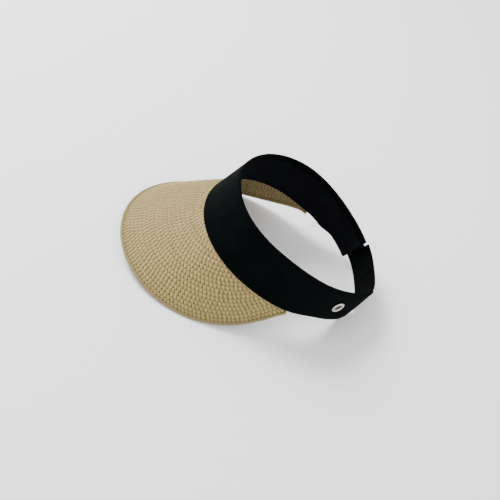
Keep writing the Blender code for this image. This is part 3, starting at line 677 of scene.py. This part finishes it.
black_lining = cloth_finish("black_lining", (0.0042, 0.0045, 0.0066), (0.0085, 0.0090, 0.0125), 0.62 * MM,
                            0.0, 0.10 * MM, Specular_IOR_Level=0.02)
azimuth, way = ring_stations(FAR_END, NEAR_END, 1.0 * MM, LINING_OUT)
rows_up = np.linspace(0.0, 1.0, 34)
low, high = (band_foot(azimuth) + LINING_FOOT_INSET)[:, None], (band_top(azimuth) - LINING_TOP_INSET)[:, None]
height = low + (high - low) * rows_up
near_edge = np.exp(-np.minimum(height - low, high - height) / LINING_REACH)
pucker = wander(way, 9.0 * MM, 51)[:, None]
slack = LINING_SLACK * wander(way, 46.0 * MM, 52)[:, None] * np.sin(np.pi * rows_up)
along_brim = (np.abs(azimuth) < BRIM_SPAN)[:, None]
seam = np.exp(-((height - SEAM_INSET) / LINING_GROOVE_WIDTH) ** 2) * along_brim
slack = slack + LINING_PUCKER * pucker * near_edge + GROOVE * seam
out = np.full(height.shape, LINING_OUT)
lining, wide, long, spread = cloth_piece("head_lining", azimuth, way, out, height, LINING_THICK, slack,
                                         black_lining)
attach(lining, "visor")
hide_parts("band_lining")

black_twill = cloth_finish("black_twill", (0.0005, 0.0013, 0.0014), (0.0022, 0.0044, 0.0048), 0.80 * MM, 1.0,
                           0.12 * MM, Specular_IOR_Level=0.02)
azimuth, way = ring_stations(FAR_END, NEAR_END, 0.85 * MM, COVER_OUT)
low, high = band_foot(azimuth)[:, None], band_top(azimuth)[:, None]
roll_radius = (COVER_OUT - TURNED_OUT) / 2.0
shoulder = high - COVER_THICK / 2.0 - roll_radius
up_share = np.concatenate([np.linspace(0.0, 0.16, 12)[:-1], np.linspace(0.16, 0.86, 19)[:-1],
                           np.linspace(0.86, 1.0, 10)])
over_top = np.radians(np.linspace(0.0, 180.0, 9))[1:-1]
inside = np.linspace(0.0, 1.0, 6)
height = np.concatenate([low + (shoulder - low) * up_share, shoulder + roll_radius * np.sin(over_top),
                         shoulder - (TURNED_DOWN - roll_radius) * inside], axis=1)
out = np.broadcast_to(np.concatenate([np.full(up_share.shape, COVER_OUT),
                                      COVER_OUT - roll_radius * (1.0 - np.cos(over_top)),
                                      np.full(inside.shape, TURNED_OUT)]), height.shape)
outside = np.broadcast_to(np.concatenate([np.ones(len(up_share)), np.zeros(len(over_top) + len(inside))]),
                          height.shape)
pucker = wander(way, 8.0 * MM, 61)[:, None]
up_wall = np.clip((height - low) / (high - low), 0.0, 1.0)
fullness = COVER_SLACK * wander(way, 52.0 * MM, 62)[:, None] * np.sin(np.pi * up_wall)
by_top = np.exp(-np.abs(high - SEAM_INSET - height) / COVER_REACH)
by_foot = np.exp(-np.abs(height - low - SEAM_INSET) / COVER_REACH)
along_brim = (np.abs(azimuth) < BRIM_SPAN)[:, None]
groove = (np.exp(-((high - SEAM_INSET - height) / COVER_GROOVE_WIDTH) ** 2)
          + np.exp(-((height - SEAM_INSET) / COVER_GROOVE_WIDTH) ** 2) * along_brim)
slack = fullness * outside + COVER_PUCKER * pucker * (by_top + by_foot * outside) - GROOVE * groove
cover, wide, long, spread = cloth_piece("band_wrap", azimuth, way, out, height, COVER_THICK, slack,
                                        black_twill)
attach(cover, "visor")
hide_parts("band_cover")


# Stitching of the headband ----------------------------------------------------------------------------------
# Black thread holds the cover down along the top edge and the straw between the plies along the foot. Each
# stitch shows outside and again inside, where the thread comes through.

STITCH_BITE, TOP_SEAM_INSET, FOOT_SEAM_INSET = 0.1 * MM, 1.5, 1.0
# Each thread's second colour is a painted highlight on its ply crowns.
black_thread = thread_finish("black_thread", (0.0006, 0.0009, 0.0010), (0.0022, 0.0028, 0.0030))


def wall_seam(azimuth, out, height, sign=1.0):
    """Stitches on the wall's outer face, or on its inner face where the sign is -1."""
    azimuth = leaned(azimuth, height)
    path = wall_point(azimuth, out, height)
    return stitches(path, sign * (wall_point(azimuth, out + 1.0 * MM, height) - path), BLACK_THREAD_RADIUS)


azimuth, _ = ring_stations(FAR_END + TOP_SEAM_INSET, NEAR_END - TOP_SEAM_INSET, 1.0 * MM)
line = band_top(azimuth) - SEAM_INSET
turned_face = TURNED_OUT - COVER_THICK / 2.0
stitch_piece("top_stitching", [wall_seam(azimuth, COVER_FACE - STITCH_BITE, line),
                               wall_seam(azimuth, turned_face + STITCH_BITE, line, -1.0)],
             black_thread, "visor", "black_thread", "band_top_stitches")
azimuth, _ = ring_stations(-BRIM_SPAN + FOOT_SEAM_INSET, BRIM_SPAN - FOOT_SEAM_INSET, 1.0 * MM)
line = np.full(azimuth.shape, SEAM_INSET)
stitch_piece("foot_stitching", [wall_seam(azimuth, COVER_FACE - STITCH_BITE, line),
                                wall_seam(azimuth, LINING_FACE + STITCH_BITE, line, -1.0)],
             black_thread, "visor", "black_thread", "brim_seam_stitches")


# Strap ------------------------------------------------------------------------------------------------------
# One length of black ribbed webbing is sewn into the near end of the band, folds round the rear corner and is
# cut down to a tongue that lies over the far end.

STRAP_FOOT, STRAP_TOP, TONGUE_TOP = 8.5 * MM, 43.0 * MM, 36.5 * MM
STRAP_THICK, TONGUE_THICK, ROOT_THICK = 1.6 * MM, 1.4 * MM, 1.1 * MM
ROOT_START, STRAP_PIVOT, STRAP_MIDDLE, TONGUE_PIVOT, TONGUE_END = 148.0, 165.6, 190.0, 214.4, 243.0
TAPE_THICK = 1.0 * MM
LOOP_OUT = COVER_FACE + GAP + TAPE_THICK / 2.0
HOOK_OUT = LOOP_OUT + TAPE_THICK + GAP
TONGUE_OUT = HOOK_OUT + TAPE_THICK / 2.0 + GAP + TONGUE_THICK / 2.0
WEB_RIB, WEB_RIB_DEPTH = 1.9 * MM, 0.04 * MM
WEB_STATION, WEB_WAVE, WEB_SELVEDGE, SELVEDGE_REACH = 0.42 * MM, 0.18 * MM, 0.16 * MM, 0.02
CUT_RUN, ROOT_RUN, ROOT_LEAD, ROOT_RAISE, ROOT_LOWER = 1.1, 1.5, 0.5, 0.6 * MM, 0.3 * MM
CORNER_RUN, CORNER_RADIUS = 2.4, 3.5 * MM
WEB_FOLD, TONGUE_FOLD = 2.0, 1.8


def strap_out(azimuth):
    """The strap's middle off the wall's: eased from the core at the corner to over the tapes at its end."""
    return CORE_OUT + (TONGUE_OUT - CORE_OUT) * ease((azimuth - STRAP_PIVOT) / (TONGUE_PIVOT - STRAP_PIVOT))


def strap_piece(name, first, last, material):
    """A stretch of webbing: a cloth with a thickness that eases from root to web to tongue, a round shoulder
    where it is cut down, thickened selvedges, and ribs across it."""
    azimuth, way = ring_stations(first, last, WEB_STATION)
    edges = np.concatenate([np.linspace(0.0, 0.06, 4)[:-1], np.linspace(0.06, 0.94, 22)[:-1],
                            np.linspace(0.94, 1.0, 4)])
    to_edge = np.minimum(edges, 1.0 - edges)
    shoulder = ease((azimuth - TONGUE_PIVOT + CUT_RUN) / CUT_RUN)
    root = 1.0 - ease((azimuth - NEAR_END + ROOT_LEAD) / ROOT_RUN)
    end = np.clip((TONGUE_END - azimuth) / CORNER_RUN, 0.0, 1.0)
    corner = CORNER_RADIUS * (1.0 - np.sqrt(1.0 - (1.0 - end) ** 2))
    low = STRAP_FOOT + ROOT_RAISE * root + corner
    top = STRAP_TOP - ROOT_LOWER * root - (STRAP_TOP - TONGUE_TOP) * shoulder - corner
    height = low[:, None] + (top - low)[:, None] * edges
    rib = WEB_RIB_DEPTH * np.sin(2.0 * np.pi * way / WEB_RIB)[:, None] * np.clip(to_edge * 20.0, 0.0, 1.0)
    wave = WEB_WAVE * wander(way, 24.0 * MM, 71)[:, None] * np.sin(np.pi * edges) * (1.0 - root[:, None])
    thick = STRAP_THICK + (ROOT_THICK - STRAP_THICK) * root + (TONGUE_THICK - STRAP_THICK) * shoulder
    thick = thick[:, None] + 2.0 * rib + WEB_SELVEDGE * np.exp(-to_edge / SELVEDGE_REACH)
    out = np.broadcast_to(strap_out(azimuth)[:, None], height.shape)
    return cloth_piece(name, azimuth, way, out, height, thick, wave, material)


black_webbing = cloth_finish("black_webbing", (0.0006, 0.0011, 0.0012), (0.0026, 0.0038, 0.0040), 0.95 * MM,
                             0.0, 0.16 * MM, Specular_IOR_Level=0.03)


def fold_point(azimuth, out):
    """Place on the table of a point low on the wall."""
    return tuple(float(part) for part in stand(wall_point(np.array([azimuth]), out, 0.0))[0])


corner_strap, wide, long, spread = strap_piece("corner_strap", ROOT_START, STRAP_MIDDLE, black_webbing)
fold_point(STRAP_PIVOT - WEB_FOLD, CORE_OUT)
fold_point(STRAP_PIVOT + WEB_FOLD, CORE_OUT)
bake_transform(corner_strap)
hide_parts("strap_root", "strap_web")

tongue_strap, wide, long, spread = strap_piece("tongue_strap", STRAP_MIDDLE, TONGUE_END, black_webbing)
fold_point(TONGUE_PIVOT - TONGUE_FOLD, TONGUE_OUT)
fold_point(TONGUE_PIVOT + TONGUE_FOLD, TONGUE_OUT)
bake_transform(tongue_strap)
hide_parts("strap_tongue")


# Hook and loop tapes ----------------------------------------------------------------------------------------
# The loop tape is sewn to the outside of the band's far end and the hook tape inside the tongue. Both are
# woven tapes: one with a raised fuzzy pile, the other with close rows of small stiff hooks.

LOOP_START, LOOP_END, HOOK_START, HOOK_END = 219.5, 249.0, 220.0, 242.0
TAPE_STEP, TAPE_BASE, TAPE_EDGE, TAPE_EASE = 0.34 * MM, 0.45 * MM, 1.2 * MM, 0.8 * MM
PILE_HEIGHT, TUFT_HEIGHT, TUFT_WANDER, HOOK_HEIGHT = 0.30 * MM, 0.13 * MM, 1.3, 0.55 * MM
BOX_INSET, BOX_END, BOX_STATIONS = 4.0 * MM, 1.5, 30


def tape_piece(name, first, last, margin, out, facing, relief, material):
    """A tape with a plain selvedge whose working face is raised by relief(way along, way up)."""
    azimuth, way = ring_stations(first, last, TAPE_STEP, out)
    low, top = STRAP_FOOT + margin, TONGUE_TOP - margin
    rows_up = int((top - low) / TAPE_STEP)
    height = np.broadcast_to(np.linspace(low, top, rows_up), (len(way), rows_up))
    inset = np.minimum(np.minimum(way, way[-1] - way)[:, None], np.minimum(height - low, top - height))
    raised = relief(way[:, None], height) * ease((inset - TAPE_EDGE) / TAPE_EASE)
    middle_out = out - facing * (TAPE_THICK - TAPE_BASE) / 2.0 + facing * raised / 2.0
    still = np.zeros(height.shape)
    return cloth_piece(name, azimuth, way, middle_out, height, TAPE_BASE + raised, still, material)[0]


def loop_pile(way, height):
    """Brushed loops: low uneven tufts from the product of two crossed waves with a wandering phase."""
    lengthwise = np.sin(way / (0.62 * MM) + TUFT_WANDER * wander(height, 4.0 * MM, 81))
    crosswise = np.sin(height / (0.55 * MM) + TUFT_WANDER * wander(way, 5.0 * MM, 82))
    return PILE_HEIGHT + TUFT_HEIGHT * lengthwise * crosswise


def hook_rows(way, height):
    """Stiff hooks: sharp pegs where two squared waves meet, in rows along the tape."""
    pegs = np.sin(np.pi * way / (1.5 * MM)) ** 2 * np.sin(np.pi * height / (1.4 * MM)) ** 2
    return HOOK_HEIGHT * pegs ** 1.6


tape_cloth = cloth_finish("hook_and_loop_tape", (0.0014, 0.0016, 0.0018), (0.0055, 0.0058, 0.0062), 0.7 * MM,
                          0.0, 0.2 * MM, Sheen_Weight=0.025, Sheen_Roughness=0.6, Specular_IOR_Level=0.06)
loop_tape = tape_piece("loop_pile_tape", LOOP_START, LOOP_END, 1.0 * MM, LOOP_OUT, 1.0, loop_pile, tape_cloth)
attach(loop_tape, "visor")
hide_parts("loop_tape")
hook_tape = tape_piece("hook_row_tape", HOOK_START, HOOK_END, 2.0 * MM, HOOK_OUT, -1.0, hook_rows, tape_cloth)
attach(hook_tape, "tongue")
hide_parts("hook_tape")


def box_seam(first, last, out, sign):
    """Stitches round a box just inside a tape's edges, as four straight rows."""
    low, high = STRAP_FOOT + BOX_INSET, TONGUE_TOP - BOX_INSET
    first, last = first + BOX_END, last - BOX_END
    level_way, _ = ring_stations(first, last, 0.8 * MM)
    upright = np.linspace(low, high, BOX_STATIONS)
    sides = [(level_way, np.full(level_way.shape, low)), (np.full(BOX_STATIONS, last), upright),
             (level_way[::-1], np.full(level_way.shape, high)), (np.full(BOX_STATIONS, first), upright[::-1])]
    return [wall_seam(azimuth, out, height, sign) for azimuth, height in sides]


ANCHOR_SEAMS = (152.0, 159.0)
tongue_face = TONGUE_OUT + TONGUE_THICK / 2.0
stitch_piece("hook_tape_stitching", box_seam(HOOK_START, HOOK_END, tongue_face, 1.0), black_thread,
             "tongue", "black_thread", "hook_tape_stitches")
stitch_piece("loop_tape_stitching", box_seam(LOOP_START, LOOP_END, LINING_FACE, -1.0), black_thread,
             "visor", "black_thread", "loop_tape_stitches")
upright = np.linspace(STRAP_FOOT + 3.0 * MM, STRAP_TOP - 5.0 * MM, BOX_STATIONS)
anchor_rows = [wall_seam(np.full(BOX_STATIONS, azimuth), out, upright, sign) for azimuth in ANCHOR_SEAMS
               for out, sign in ((COVER_FACE, 1.0), (LINING_FACE, -1.0))]
stitch_piece("anchor_stitching", anchor_rows, black_thread, "visor", "black_thread", "strap_anchor_stitches")


# Stud -------------------------------------------------------------------------------------------------------
# A small round nickel cup with a brown enamel dome sits on the band by its near end. A rivet holds it
# through the cloth to a washer that lies in the felt.

nickel, tree, shader = finish_of("polished_nickel", Metallic=1.0)
spot = node(tree, "ShaderNodeTexCoord").outputs["Object"]
rubs = node(tree, "ShaderNodeTexNoise", {"Vector": spot, "Scale": 700.0, "Detail": 4.0}).outputs["Fac"]
tree.links.new(mixed(tree, rubs, (0.50, 0.47, 0.43, 1.0), (0.72, 0.70, 0.67, 1.0)),
               shader.inputs["Base Color"])
tree.links.new(scaled(tree, rubs, 0.3, 0.7, 0.16, 0.34), shader.inputs["Roughness"])
bump = node(tree, "ShaderNodeBump", {"Height": rubs, "Strength": 0.15, "Distance": 0.05 * MM})
tree.links.new(bump.outputs[0], shader.inputs["Normal"])
enamel, tree, shader = finish_of("brown_enamel", Coat_Weight=0.12, Coat_Roughness=0.06,
                                 Specular_IOR_Level=0.12)
spot = node(tree, "ShaderNodeTexCoord").outputs["Object"]
cloudy = node(tree, "ShaderNodeTexNoise", {"Vector": spot, "Scale": 260.0, "Detail": 3.0}).outputs["Fac"]
tree.links.new(mixed(tree, cloudy, (0.010, 0.0045, 0.0025, 1.0), (0.038, 0.018, 0.010, 1.0)),
               shader.inputs["Base Color"])
tree.links.new(scaled(tree, cloudy, 0.3, 0.7, 0.22, 0.36), shader.inputs["Roughness"])
for name, material, slot in (("badge_bezel", nickel, "nickel"), ("badge_rivet", nickel, "nickel"),
                             ("badge_washer", nickel, "nickel"), ("badge_inlay", enamel, "brown_enamel")):
    nodes[name].material_slots[0].material = material
